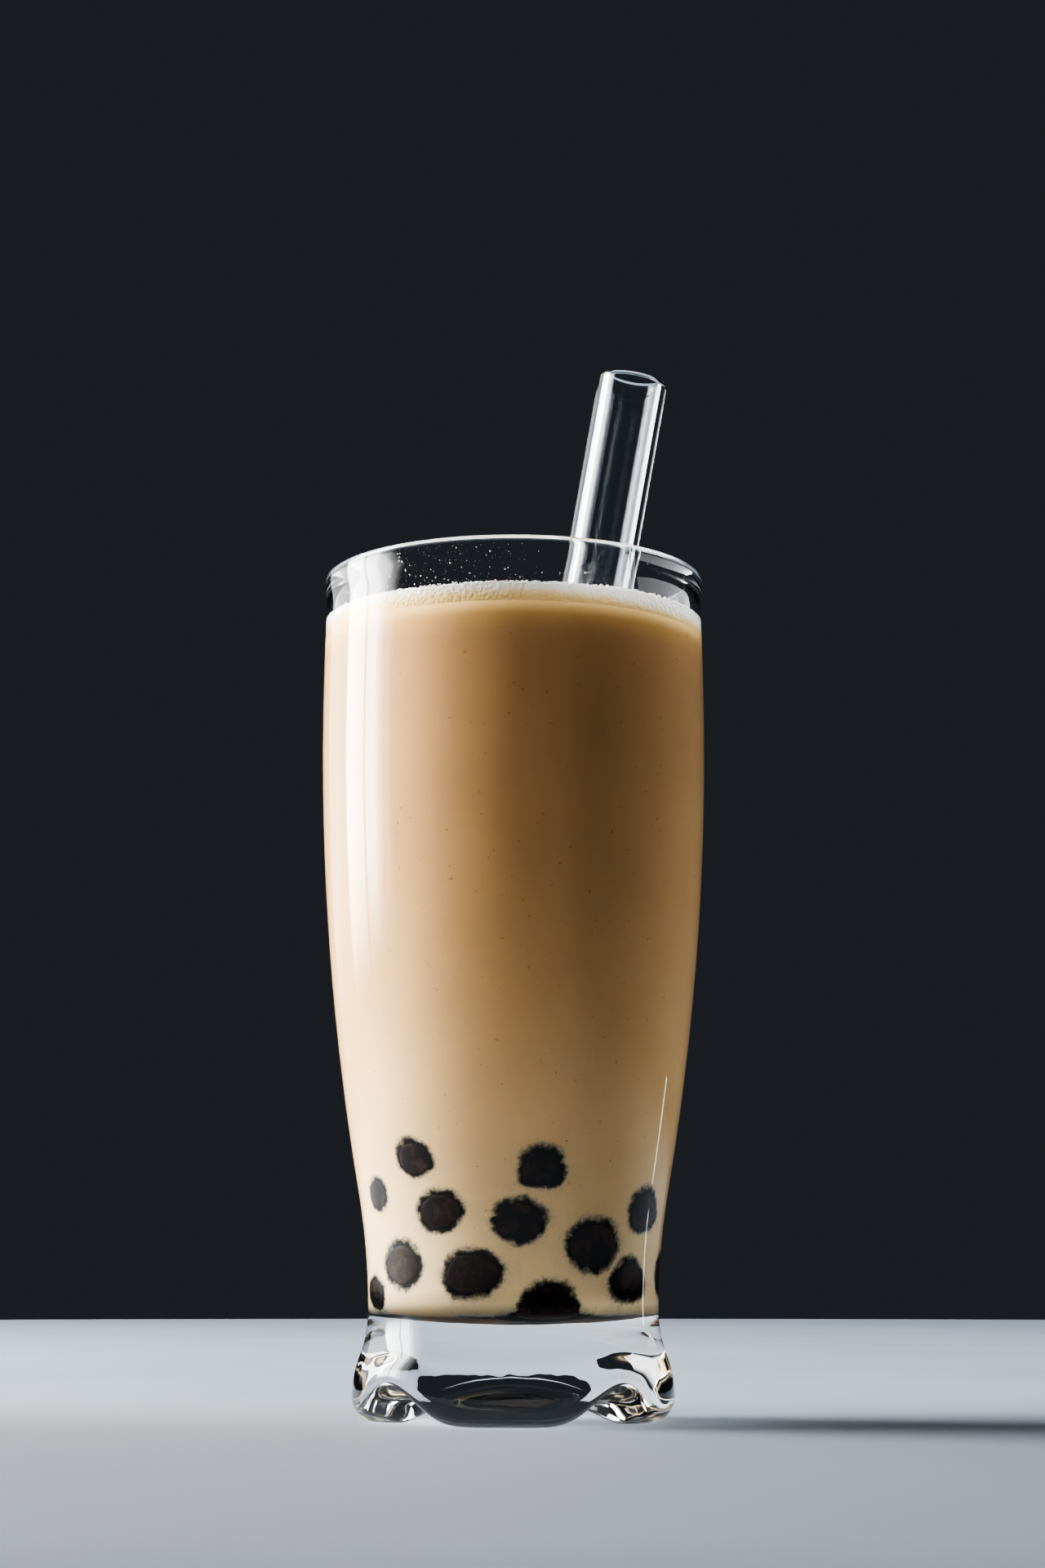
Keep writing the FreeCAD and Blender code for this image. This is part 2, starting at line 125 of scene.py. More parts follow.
def outer_radius(height):
    """Radius of the glass's outside: foot's round edge, flare, waist, long hollow, belly, lip."""
    height = np.asarray(height, float)
    edge = FOOT - FOOT_ROUND + np.sqrt(np.maximum(FOOT_ROUND**2 - (FOOT_ROUND - height)**2, 0))
    waist = NECK + hollow_then_bulge(
        NECK_HEIGHT - height, FOOT - NECK, NECK_HEIGHT - FOOT_ROUND, WAIST_CURVE
    )
    side = NECK + hollow_then_bulge(
        height - NECK_HEIGHT, BELLY - NECK, BELLY_HEIGHT - NECK_HEIGHT, NECK_CURVE
    )
    top = shoulder(height, BELLY, RIM)
    return np.select(
        [height < FOOT_ROUND, height < NECK_HEIGHT, height < BELLY_HEIGHT], [edge, waist, side], top
    )


CORNER_ACROSS = CAVITY_NECK - FLOOR_CORNER
CORNER_HEIGHT = FLOOR_HEIGHT + FLOOR_CURVE - math.sqrt(
    (FLOOR_CURVE - FLOOR_CORNER)**2 - CORNER_ACROSS**2
)
FLOOR_EDGE = CORNER_ACROSS * FLOOR_CURVE / (FLOOR_CURVE - FLOOR_CORNER)


def cavity_radius(height):
    """Radius of the glass's inside: floor corner, hollow, bulge to the belly, then the shoulder."""
    height = np.asarray(height, float)
    corner = CORNER_ACROSS + np.sqrt(np.maximum(FLOOR_CORNER**2 - (CORNER_HEIGHT - height)**2, 0))
    side = CAVITY_NECK + hollow_then_bulge(
        height - CORNER_HEIGHT, CAVITY_BELLY - CAVITY_NECK, BELLY_HEIGHT - CORNER_HEIGHT,
        CAVITY_CURVE,
    )
    top = shoulder(height, CAVITY_BELLY, CAVITY_RIM)
    return np.select([height < CORNER_HEIGHT, height < BELLY_HEIGHT], [corner, side], top)


def floor_height(out):
    """Height of the cavity's floor at a distance from the axis: a shallow dish, then its corner."""
    out = np.asarray(out, float)
    dish = FLOOR_HEIGHT + FLOOR_CURVE - np.sqrt(FLOOR_CURVE**2 - np.minimum(out, FLOOR_EDGE)**2)
    corner = CORNER_HEIGHT - np.sqrt(
        np.maximum(FLOOR_CORNER**2 - np.clip(out - CORNER_ACROSS, 0, FLOOR_CORNER)**2, 0)
    )
    return np.where(out <= FLOOR_EDGE, dish, corner)


def joined(*runs):
    """Outline runs put end to end, each an array of distances out and heights."""
    return np.concatenate([np.stack(np.broadcast_arrays(*run), axis=-1) for run in runs])


def span(start, end, count, first=True):
    """Evenly spaced numbers from start to end, with or without the first."""
    return np.linspace(start, end, count + 1)[0 if first else 1:]


def between(low, high, share):
    """The value at a share of the way from low to high."""
    return low + (high - low) * share


# ---------------------------------------------------------------- meshes

def write_mesh(name, points, faces):
    """A smooth mesh object from points in millimetres and a list of face arrays."""
    mesh = bpy.data.meshes.new(name)
    listed = [face for block in faces for face in block.tolist()]
    mesh.from_pydata((points * MM).tolist(), [], listed)
    mesh.polygons.foreach_set("use_smooth", np.ones(len(mesh.polygons), bool))
    mesh.validate()
    mesh.update()
    piece = bpy.data.objects.new(name, mesh)
    bpy.context.scene.collection.objects.link(piece)
    return piece


def ring_faces(rows, columns, row_wrap=False):
    """Four-sided faces of a grid of rings, whose columns close on themselves."""
    index = np.arange(rows * columns).reshape(rows, columns)
    if row_wrap:
        index = np.concatenate([index, index[:1]])
    low, high = index[:-1], index[1:]
    return np.stack(
        [low, np.roll(low, -1, 1), np.roll(high, -1, 1), high], axis=-1
    ).reshape(-1, 4)


def fan(ring, point):
    """Three-sided faces from each side of a closed ring to one point, all by their numbers."""
    return np.stack([np.full(len(ring), point), ring, np.roll(ring, -1)], axis=-1)


def ring_piece(name, rings, start=None, end=None, row_wrap=False):
    """A closed skin through rings, an array of rows, columns and XYZ, with a point closing each
    end as a fan. The rings run so that their faces look outwards."""
    rows, columns = rings.shape[:2]
    points = [rings.reshape(-1, 3)]
    faces = [ring_faces(rows, columns, row_wrap)]
    ring = np.arange(columns)
    count = rows * columns
    if start is not None:
        points.append(np.array([start], float))
        faces.append(fan(ring[::-1], count))
        count += 1
    if end is not None:
        points.append(np.array([end], float))
        faces.append(fan((rows - 1) * columns + ring, count))
    return write_mesh(name, np.concatenate(points), faces)


def ball_faces(rows, columns, count):
    """Faces of many balls, whose points are listed ball by ball: a grid of rings, then the point
    that closes the first ring and the point that closes the last. The rings run anticlockwise
    seen from the first point, so every face is turned over to look outwards."""
    ring = np.arange(columns)
    poles = rows * columns
    blocks = (
        ring_faces(rows, columns),
        fan(ring[::-1], poles),
        fan(poles - columns + ring, poles + 1),
    )
    step = (np.arange(count) * (poles + 2))[:, None, None]
    return [(block[None, :, ::-1] + step).reshape(-1, block.shape[1]) for block in blocks]


def at_angle(angle, out, up):
    """The point at an angle in radians from the front, a distance from the axis and a height."""
    return np.stack(np.broadcast_arrays(out * np.sin(angle), -out * np.cos(angle), up), axis=-1)


def around(bearing, out, up=0.0):
    """The point at a bearing in degrees, a distance from the axis and a height."""
    return at_angle(np.radians(bearing), out, up)


def turned(outline, columns):
    """An outline carried round the axis: rows by columns by XYZ, anticlockwise from above."""
    angle = np.linspace(0, 2 * math.pi, columns, endpoint=False)
    return at_angle(angle, outline[:, :1], outline[:, 1:])


def bearing_of(points):
    """Bearing in radians of each point."""
    return np.arctan2(points[..., 0], -points[..., 1])


def beads(name, centres, radii, squash=None, rows=5, columns=8):
    """Many small balls in one mesh. Each is a grid of rows from pole to pole, scaled by its
    radius, and flattened by squash along its own direction when that is given."""
    polar = np.linspace(0, math.pi, rows + 2)
    angle = np.linspace(0, 2 * math.pi, columns, endpoint=False)
    rings = np.stack(
        [
            np.sin(polar[1:-1, None]) * np.cos(angle),
            np.sin(polar[1:-1, None]) * np.sin(angle),
            np.broadcast_to(np.cos(polar[1:-1, None]), (rows, columns)),
        ],
        axis=-1,
    ).reshape(-1, 3)
    ball = np.concatenate([rings, [[0, 0, 1], [0, 0, -1]]])
    shape = ball[None] * radii[:, None, None]
    if squash is not None:
        direction, share = squash
        along = np.sum(shape * direction[:, None], axis=-1, keepdims=True)
        shape = shape - along * direction[:, None] * (1 - share)
    faces = ball_faces(rows, columns, len(centres))
    return write_mesh(name, (centres[:, None] + shape).reshape(-1, 3), faces)


def add_mark(piece, name, values):
    """A number at each point of the piece, which its material reads by name."""
    piece.data.attributes.new(name, "FLOAT", "POINT").data.foreach_set(
        "value", np.asarray(values, np.float32)
    )


def ripple(angle, low, high, seed):
    """A closed wavy line: whole numbers of waves from low to high, each weaker as it is finer."""
    source = np.random.default_rng(seed)
    waves = np.arange(low, high + 1)
    phase = source.uniform(0, 2 * math.pi, len(waves))
    size = source.normal(0, 1, len(waves)) / np.sqrt(waves)
    total = np.sum(size * np.cos(waves * np.asarray(angle)[..., None] + phase), axis=-1)
    return total / np.sqrt(np.sum(size**2) / 2)


# ---------------------------------------------------------------- glass

GLASS_COLUMNS = 256
UNDERSIDE_ROWS = 34


def foot_rise(bearing):
    """How far the glass's lower edge stands off the table: nothing at a foot, a round arch
    midway between two feet. It is a high power of a sine with one wave to two feet."""
    wave = np.abs(np.sin(FEET / 2 * (bearing - math.radians(FIRST_FOOT))))
    return ARCH_HEIGHT * wave**ARCH_NARROWNESS


def underside(out, bearing):
    """Height of the underside: the higher of a shallow dome and the arches' ceilings, which
    fall towards the axis, melted together where they meet."""
    curve = (PUNT**2 + PUNT_DEPTH**2) / (2 * PUNT_DEPTH)
    dome = PUNT_DEPTH - curve + np.sqrt(curve**2 - out**2)
    dome = (dome + np.sqrt(dome**2 + PUNT_SOFTNESS**2)) / 2 - PUNT_SINK
    ceiling = np.maximum(foot_rise(bearing) - (FOOT - FOOT_ROUND - out) * ARCH_SLOPE, 0)
    higher = np.maximum(dome, ceiling)
    soft = np.minimum(higher, MELT)
    near = np.maximum(soft - np.abs(dome - ceiling), 0) / np.maximum(soft, 1e-6)
    return higher + near**2 * soft / 4 * (out < MELT_END)


def make_glass_body():
    """The glass as one skin: underside, foot, outside, lip, inside and floor."""
    flat = FOOT - FOOT_ROUND
    edge = span(0, math.pi / 2, 10, first=False)
    waist = span(FOOT_ROUND, NECK_HEIGHT, 18, first=False)
    side = span(NECK_HEIGHT, BELLY_HEIGHT, 48, first=False)
    collar = span(BELLY_HEIGHT, GLASS_TOP - LIP_ROUND, 20, first=False)
    bead = np.clip((collar - collar[-1] + LIP_BEAD_RUN) / LIP_BEAD_RUN, 0, 1)
    bead = LIP_BEAD * bead**2 * (3 - 2 * bead)
    lip = span(0, math.pi, 16, first=False)
    lip_out = outer_radius(collar[-1]) + LIP_BEAD
    lip_in = cavity_radius(collar[-1])
    inside = span(GLASS_TOP - LIP_ROUND, BELLY_HEIGHT, 14, first=False)
    drop = span(BELLY_HEIGHT, CORNER_HEIGHT, 48, first=False)
    corner = span(0, math.asin(FLOOR_EDGE / FLOOR_CURVE) - math.pi / 2, 12, first=False)
    dish = span(FLOOR_EDGE, 0, 16, first=False)[:-1]
    outline = joined(
        (span(0, flat, UNDERSIDE_ROWS, first=False), 0.0),
        (flat + FOOT_ROUND * np.sin(edge), FOOT_ROUND - FOOT_ROUND * np.cos(edge)),
        (outer_radius(waist), waist),
        (outer_radius(side), side),
        (outer_radius(collar) + bead, collar),
        ((lip_out + lip_in) / 2 + (lip_out - lip_in) / 2 * np.cos(lip),
         GLASS_TOP - LIP_ROUND + LIP_ROUND * np.sin(lip)),
        (cavity_radius(inside), inside),
        (cavity_radius(drop), drop),
        (CORNER_ACROSS + FLOOR_CORNER * np.cos(corner),
         CORNER_HEIGHT + FLOOR_CORNER * np.sin(corner)),
        (dish, floor_height(dish)),
    )
    outside_rows = UNDERSIDE_ROWS + len(edge) + len(waist) + len(side)
    rings = turned(outline, GLASS_COLUMNS)
    bearing = bearing_of(rings)
    out = outline[:, :1] + 0 * bearing
    height = rings[..., 2]
    row = np.arange(len(outline))[:, None]
    lift = foot_rise(bearing) * np.clip(1 - height / ARCH_FADE, 0, 1)**1.5 * (row < outside_rows)
    rings[..., 2] = np.where(row < UNDERSIDE_ROWS, underside(out, bearing), height + lift)
    return ring_piece("glass_body", rings, (0, 0, PUNT_DEPTH), (0, 0, FLOOR_HEIGHT))


# ---------------------------------------------------------------- straw

def straw_stance():
    """Where the straw's lower end rests, and its axis and two directions across it.

    It leans on the inside of the lip, and its tilted end sits just above the dished floor. Each
    moves the other a little, so both are worked out again until they settle."""
    foot = around(STRAW_FOOT_BEARING, CAVITY_NECK - STRAW - STRAW_FOOT_ROOM, FLOOR_HEIGHT)
    seat = CAVITY_RIM - STRAW - STRAW_GAP
    turn = np.radians(np.arange(0, 360, 5))[:, None]
    for _ in range(STANCE_ROUNDS):
        axis = around(STRAW_BEARING, seat, GLASS_TOP) - foot
        axis = axis / np.linalg.norm(axis)
        side = np.cross([0, 1, 0], axis)
        side = side / np.linalg.norm(side)
        back = np.cross(axis, side)
        seat = CAVITY_RIM - STRAW / axis[2] - STRAW_GAP
        end = foot + STRAW * (np.cos(turn) * side + np.sin(turn) * back)
        low = floor_height(np.hypot(end[:, 0], end[:, 1])) - end[:, 2]
        foot = foot + [0, 0, STRAW_GAP + low.max()]
    return foot, axis, side, back


STRAW_FOOT, STRAW_AXIS, STRAW_SIDE, STRAW_BACK = straw_stance()


def straw_rings(radius, along, columns):
    """Rings round the straw's axis. Along is a distance up from the foot, for each ring, or for
    each ring and column where a ring is cut on a slope."""
    angle = np.linspace(0, 2 * math.pi, columns, endpoint=False) - math.pi / 2
    across = np.cos(angle)[:, None] * STRAW_SIDE + np.sin(angle)[:, None] * STRAW_BACK
    radius = np.atleast_1d(radius)[:, None, None]
    along = np.asarray(along, float)
    along = along[:, None, None] if along.ndim == 1 else along[..., None]
    return STRAW_FOOT + along * STRAW_AXIS + radius * across


def level_along(radius, level, columns):
    """Distance along the straw at which its surface of that radius meets a level, by column."""
    flat = straw_rings([radius], [0.0], columns)[0]
    return (level - flat[:, 2]) / STRAW_AXIS[2]


def make_straw_tube():
    """A straight tube whose outline is carried round its axis: both ends are rounded over."""
    quarter = span(0, math.pi / 2, 6)
    sine = STRAW_ROUND * np.sin(quarter)
    cosine = STRAW_ROUND * np.cos(quarter)
    wall = STRAW - STRAW_ROUND
    bore = STRAW_BORE + STRAW_ROUND
    top = STRAW_LENGTH - STRAW_ROUND
    rows = span(STRAW_ROUND, top, 40)[1:-1]
    outline = joined(
        (wall + sine, STRAW_ROUND - cosine),
        (STRAW, rows),
        (wall + cosine, top + sine),
        (bore - sine, top + cosine),
        (STRAW_BORE, rows[::-1]),
        (bore - cosine, STRAW_ROUND - sine),
    )
    rings = straw_rings(outline[:, 0], outline[:, 1], STRAW_COLUMNS)
    return ring_piece("straw_tube", rings, row_wrap=True)


# ---------------------------------------------------------------- pearls

# Bearing, height, width and height of the dark patch where a pearl is pressed to the glass, and
# its tone: 0 bluish black, 0.4 black, 0.75 red-brown, 1 olive.
FRONT_PEARLS = (
    (-40.0, 48.2, 7.0, 6.4, 0.60),
    (-64.0, 41.9, 5.8, 5.6, 0.40),
    (-30.2, 38.5, 7.9, 7.2, 0.76),
    (2.6, 36.7, 8.2, 7.6, 0.30),
    (34.4, 32.4, 9.4, 8.8, 0.05),
    (11.0, 46.3, 7.4, 7.2, 0.20),
    (62.6, 39.0, 8.2, 7.8, 0.00),
    (-17.1, 27.1, 9.6, 7.9, 0.72),
    (54.6, 25.8, 8.6, 7.4, 0.45),
    (15.2, 22.0, 8.8, 7.4, 0.55),
    (-51.3, 28.8, 8.6, 8.2, 0.92),
    (-74.0, 23.8, 7.0, 5.4, 0.80),
    (88.0, 27.0, 7.0, 7.4, 0.40),
)
PEARL_SPACING = 9.6
WALL_REACH = 25.0          # distance from the axis at which the spacing along the wall is taken
BACK_BEARINGS = (106.0, 258.0)   # the pearls at the wall behind lie between these
BACK_HEIGHTS = (22.0, 52.0)
WALL_TRIES = 900
HEAP_TRIES = 500
HEAP_REACH = 12.5          # how far from the axis the pearls on the floor lie
HEAP_SPACING = 8.6
STRAW_SPACING = 10.4       # from the straw's foot to the nearest of them
STRAW_TOUCH = 0.05         # what is left between a pearl and the straw
PATCH_SHARE = 0.77         # the patch's size in the pearl's own
PEARL_DEPTH = 4.3          # half a pearl's thickness, from the glass inwards
PEARL_BACK = 0.25          # set back, because the thin milk round a patch looks dark too
PEARL_SINK = PEARL_DEPTH * math.sqrt(1 - PATCH_SHARE**2) + PEARL_BACK
PRESS_LOW = CORNER_HEIGHT - 0.6 * FLOOR_CORNER   # below this the floor's corner turns under
RAGGED = 0.23              # how unevenly thick the milk is in front of a pearl
PEARL_EDGE_FALL = 4.8      # how fast the milk gets thicker past a pearl's outline
SHADE_REACH = 9.0          # how far from a pearl's middle its shade is worked out
SKIN = WETTING + 0.1       # how far a pressed pearl reaches into the glass
MILK_CLEARNESS = 1.45      # depth of milk in which a pearl fades to about a third
UP = np.array([0.0, 0.0, 1.0])


def settle_pearls():
    """Every pearl's middle, the directions out to the glass, aside and up along it, its own half
    width and half height, and its tone. The front ones are given. The others are dropped at random
    at the wall behind and on the floor, and kept if they are clear of their neighbours."""
    kept = [np.array(pearl) for pearl in FRONT_PEARLS]
    source = np.random.default_rng(21)
    for bearing, height, size, squat in source.uniform(0, 1, (WALL_TRIES, 4)):
        width = between(6.8, 9.0, size)
        place = [between(*BACK_BEARINGS, bearing), between(*BACK_HEIGHTS, height**1.4)]
        pearl = np.array([*place, width, width * between(0.8, 0.95, squat), (7 * size) % 1])
        spread = np.array(kept)
        turn = np.radians((spread[:, 0] - pearl[0] + 180) % 360 - 180)
        gap = np.hypot(turn * WALL_REACH, spread[:, 1] - pearl[1])
        if gap.min() > PEARL_SPACING:
            kept.append(pearl)
    bearing, height, width, tall, tone = np.array(kept).T
    out = around(bearing, 1.0)
    middle = out * (cavity_radius(height) - PEARL_SINK)[:, None] + height[:, None] * UP
    aside = around(bearing + 90, 1.0)
    upright = np.tile(UP, (len(kept), 1))

    low = [STRAW_FOOT]
    for turn, away in source.uniform(0, 1, (HEAP_TRIES, 2)):
        away = HEAP_REACH * math.sqrt(away)
        spot = around(360 * turn, away, floor_height(away) + PEARL_SINK)
        apart = np.hypot(*(np.array(low) - spot)[:, :2].T)
        if apart[0] > STRAW_SPACING and (apart[1:] > HEAP_SPACING).all():
            low.append(spot)
    low = np.array(low[1:])
    wide = between(7.0, 8.6, source.uniform(0, 1, len(low)))
    return (
        np.concatenate([middle, low]),
        np.concatenate([out, np.tile(-UP, (len(low), 1))]),
        np.concatenate([aside, np.tile([1.0, 0.0, 0.0], (len(low), 1))]),
        np.concatenate([upright, np.tile([0.0, -1.0, 0.0], (len(low), 1))]),
        np.concatenate([width, wide]) / 2 / PATCH_SHARE,
        np.concatenate([tall, wide * 0.9]) / 2 / PATCH_SHARE,
        np.concatenate([tone, np.full(len(low), 0.5)]),
    )


(
    PEARL_MIDDLE, PEARL_OUT, PEARL_ASIDE, PEARL_UP, PEARL_WIDE, PEARL_TALL, PEARL_TONE
) = settle_pearls()
LOBES = np.arange(2, 32)
FINE_LOBES = 7             # from this number on the lobes are the fine, ragged ones
BROAD_STRENGTH = 0.030
FINE_STRENGTH = 0.0030
# Pearl, number of lobes, strength and phase: a squarish one, a drop with its point up, an oval.
SHAPED_PEARLS = ((5, 4, 0.055, math.pi), (8, 3, 0.085, math.pi / 2), (0, 2, 0.09, math.pi / 2))
TORN_PEARLS = (0, 3, 5, 9)
TEAR = 1.6                 # how much stronger their fine lobes are


def pearl_outline():
    """Strength and phase of each pearl's lobes: a few broad ones, then a fine ragged edge."""
    source = np.random.default_rng(5)
    size = source.normal(0, 1, (len(PEARL_WIDE), len(LOBES)))
    size = size * np.where(LOBES < FINE_LOBES, BROAD_STRENGTH / LOBES**0.5, FINE_STRENGTH)
    phase = source.uniform(0, 2 * math.pi, size.shape)
    for pearl, lobe, strength, start in SHAPED_PEARLS:
        size[pearl, lobe - LOBES[0]] = strength
        phase[pearl, lobe - LOBES[0]] = start
    size[list(TORN_PEARLS), FINE_LOBES - LOBES[0]:] *= TEAR
    return size, phase


LOBE_SIZE, LOBE_PHASE = pearl_outline()


def raggedness(number, turn):
    """Factor on a pearl's radius at an angle round its middle: one, plus its lobes."""
    lobes = LOBE_SIZE[number][..., None, :] * np.cos(
        LOBES * turn[..., None] + LOBE_PHASE[number][..., None, :]
    )
    return 1 + lobes.sum(-1)


def make_pearls():
    """All pearls in one mesh. Each is a flattened ball with a ragged edge, sunk until the glass
    cuts it and then pressed flat on the wall, the floor and the straw."""
    rows, columns = 24, 64
    polar = np.linspace(0, math.pi, rows + 2)[1:-1]
    turn = np.linspace(0, 2 * math.pi, columns, endpoint=False)
    number = np.arange(len(PEARL_WIDE))
    factor = raggedness(number, np.broadcast_to(turn, (len(number), columns)))
    factor = 1 + (factor[:, None, :] - 1) * np.sin(polar)[:, None]
    wide = PEARL_WIDE[:, None, None] * np.sin(polar)[:, None] * np.cos(turn) * factor
    tall = PEARL_TALL[:, None, None] * np.sin(polar)[:, None] * np.sin(turn) * factor
    deep = PEARL_DEPTH * np.cos(polar)[:, None] * np.ones_like(factor)
    rings = (
        PEARL_MIDDLE[:, None, None]
        + wide[..., None] * PEARL_ASIDE[:, None, None]
        + tall[..., None] * PEARL_UP[:, None, None]
        + deep[..., None] * PEARL_OUT[:, None, None]
    ).reshape(len(number), -1, 3)
    poles = PEARL_MIDDLE[:, None] + PEARL_OUT[:, None] * np.array([[PEARL_DEPTH], [-PEARL_DEPTH]])
    points = np.concatenate([rings, poles], axis=1)

    beyond = points - STRAW_FOOT
    aside = beyond - (beyond @ STRAW_AXIS)[..., None] * STRAW_AXIS
    off = np.linalg.norm(aside, axis=-1, keepdims=True)
    points = points + aside / off * np.maximum(STRAW + STRAW_TOUCH - off, 0)
    ground = floor_height(np.hypot(points[..., 0], points[..., 1])) - SKIN
    points[..., 2] = np.maximum(points[..., 2], ground)
    reach = np.hypot(points[..., 0], points[..., 1])
    wall = cavity_radius(np.maximum(points[..., 2], PRESS_LOW)) + SKIN
    points[..., :2] *= np.minimum(1, wall / np.maximum(reach, 1e-6))[..., None]

    faces = ball_faces(rows, columns, len(number))
    piece = write_mesh("pearls", points.reshape(-1, 3), faces)
    add_mark(piece, "tone", np.repeat(PEARL_TONE, points.shape[1]))
    return piece


def uneven(points):
    """The sum of plane waves in random directions, one to three millimetres long, scaled so that
    its mean square is one."""
    source = np.random.default_rng(12)
    count = 26
    way = source.normal(0, 1, (count, 3))
    way = way / np.linalg.norm(way, axis=1, keepdims=True)
    way = way * 2 * math.pi / source.uniform(1.0, 3.0, (count, 1))
    phase = source.uniform(0, 2 * math.pi, count)
    return np.sin(points @ way.T + phase).sum(1) / math.sqrt(count / 2)


def pearl_shade(points):
    """How strongly a pearl shows through the tea at each point of its skin, from 0 to 1.

    The milk in front of a pearl is as thick as the ball's surface is deep there, thicker past its
    outline, and a little uneven. The shade falls off with that thickness as a power of e."""
    shade = np.zeros(len(points))
    lumps = RAGGED * uneven(points)
    for number, middle in enumerate(PEARL_MIDDLE):
        apart = points - middle
        near = np.sum(apart**2, axis=1) < SHADE_REACH**2
        apart = apart[near]
        wide = apart @ PEARL_ASIDE[number] / PEARL_WIDE[number]
        high = apart @ PEARL_UP[number] / PEARL_TALL[number]
        factor = raggedness(np.array([number]), np.arctan2(high, wide)[None])[0]
        across = np.hypot(wide, high) / factor
        bulge = PEARL_DEPTH * np.sqrt(np.maximum(1 - across**2, 0))
        thick = apart @ PEARL_OUT[number] - bulge + lumps[near]
        thick = thick + PEARL_EDGE_FALL * np.maximum(across - 1, 0)
        shade[near] = np.maximum(shade[near], np.exp(-np.maximum(thick, 0) / MILK_CLEARNESS))
    return shade


# ---------------------------------------------------------------- tea

TEA_COLUMNS = 400
PEARLS_END = 60.0          # above this height no pearl shows and the rows are coarser


def bridge(first, last, count):
    """Rings between two rings, evenly spaced, without the first."""
    share = span(0, 1, count, first=False)[:, None, None]
    return first[None] * (1 - share) + last[None] * share


def make_tea_fill():
    """The tea as one skin: floor, wall, level surface, the channel that the straw fills, and the
    tea inside the straw. It reaches a little into the glass and the straw."""
    floor = span(0, FLOOR_EDGE, 16, first=False)
    corner = span(math.asin(FLOOR_EDGE / FLOOR_CURVE) - math.pi / 2, 0, 12, first=False)
    fine = span(CORNER_HEIGHT, PEARLS_END, 92, first=False)
    coarse = span(PEARLS_END, TEA_LEVEL, 34, first=False)
    outline = joined(
        (floor, floor_height(floor) - WETTING),
        (CORNER_ACROSS + (FLOOR_CORNER + WETTING) * np.cos(corner),
         CORNER_HEIGHT + (FLOOR_CORNER + WETTING) * np.sin(corner)),
        (cavity_radius(fine) + WETTING, fine),
        (cavity_radius(coarse) + WETTING, coarse),
    )
    skin = turned(outline, TEA_COLUMNS)
    outside = STRAW - WETTING
    inside = STRAW_BORE + WETTING
    top = level_along(outside, TEA_LEVEL, TEA_COLUMNS)
    core = level_along(inside, TEA_LEVEL, TEA_COLUMNS)
    mouth = straw_rings([outside], [0.0], TEA_COLUMNS)[0] + top[:, None] * STRAW_AXIS
    surface = bridge(skin[-1], mouth, 6)
    share = span(0, 1, 3, first=False)[:, None]
    channel = straw_rings(np.full(3, outside), top * (1 - share) + WETTING * share, TEA_COLUMNS)
    bore = straw_rings(np.full(4, inside), core * span(0, 1, 3)[:, None] + WETTING, TEA_COLUMNS)
    middle = STRAW_FOOT + (TEA_LEVEL - STRAW_FOOT[2]) / STRAW_AXIS[2] * STRAW_AXIS
    rings = np.concatenate([skin, surface, channel, bore])
    piece = ring_piece("tea_fill", rings, (0, 0, FLOOR_HEIGHT - WETTING), middle + [0, 0, WETTING])
    points = np.concatenate([rings.reshape(-1, 3), [[0, 0, FLOOR_HEIGHT]], [middle]])
    at_wall = np.zeros(len(points), bool)
    at_wall[:len(skin) * TEA_COLUMNS] = True
    shade = np.zeros(len(points))
    shade[at_wall] = pearl_shade(points[at_wall])
    add_mark(piece, "pearl_shade", shade)
    return piece


# ---------------------------------------------------------------- foam

FOAM_COLUMNS = 480
TOP_ROWS = 110
FADE_ROWS = 10             # rows at the wall over which the bubbles rise out of the climb
FOAM_REACH = WETTING + 0.02
FOAM_TAPER = 0.06          # how far the lower edge is drawn in, so that it ends inside the tea
EDGE_RIPPLE = 0.10
STRAW_CLING = 0.7          # height of the foam's climb at the straw
STRAW_CLING_WIDTH = 0.8
BUBBLES = 700
BUBBLE_REACH = 33.5        # the bubbles' middles lie within this distance of the axis
BUBBLE_SINK = 0.45         # how deep a bubble sits, as a share of its size
BUBBLE_LIFT = 0.7
SWELL = 0.12               # height of the slow swell under the bubbles


def bubbly(points, centres, radii):
    """Height that bubbles add to a flat place: each is a cap of a ball, and the highest shows."""
    raised = np.zeros(len(points))
    for start in range(0, len(centres), 40):
        part, size = centres[start:start + 40], radii[start:start + 40]
        apart = (points[:, None, 0] - part[:, 0])**2 + (points[:, None, 1] - part[:, 1])**2
        cap = np.sqrt(np.maximum(size**2 - apart, 0)) - BUBBLE_SINK * size
        raised = np.maximum(raised, cap.max(1))
    return raised


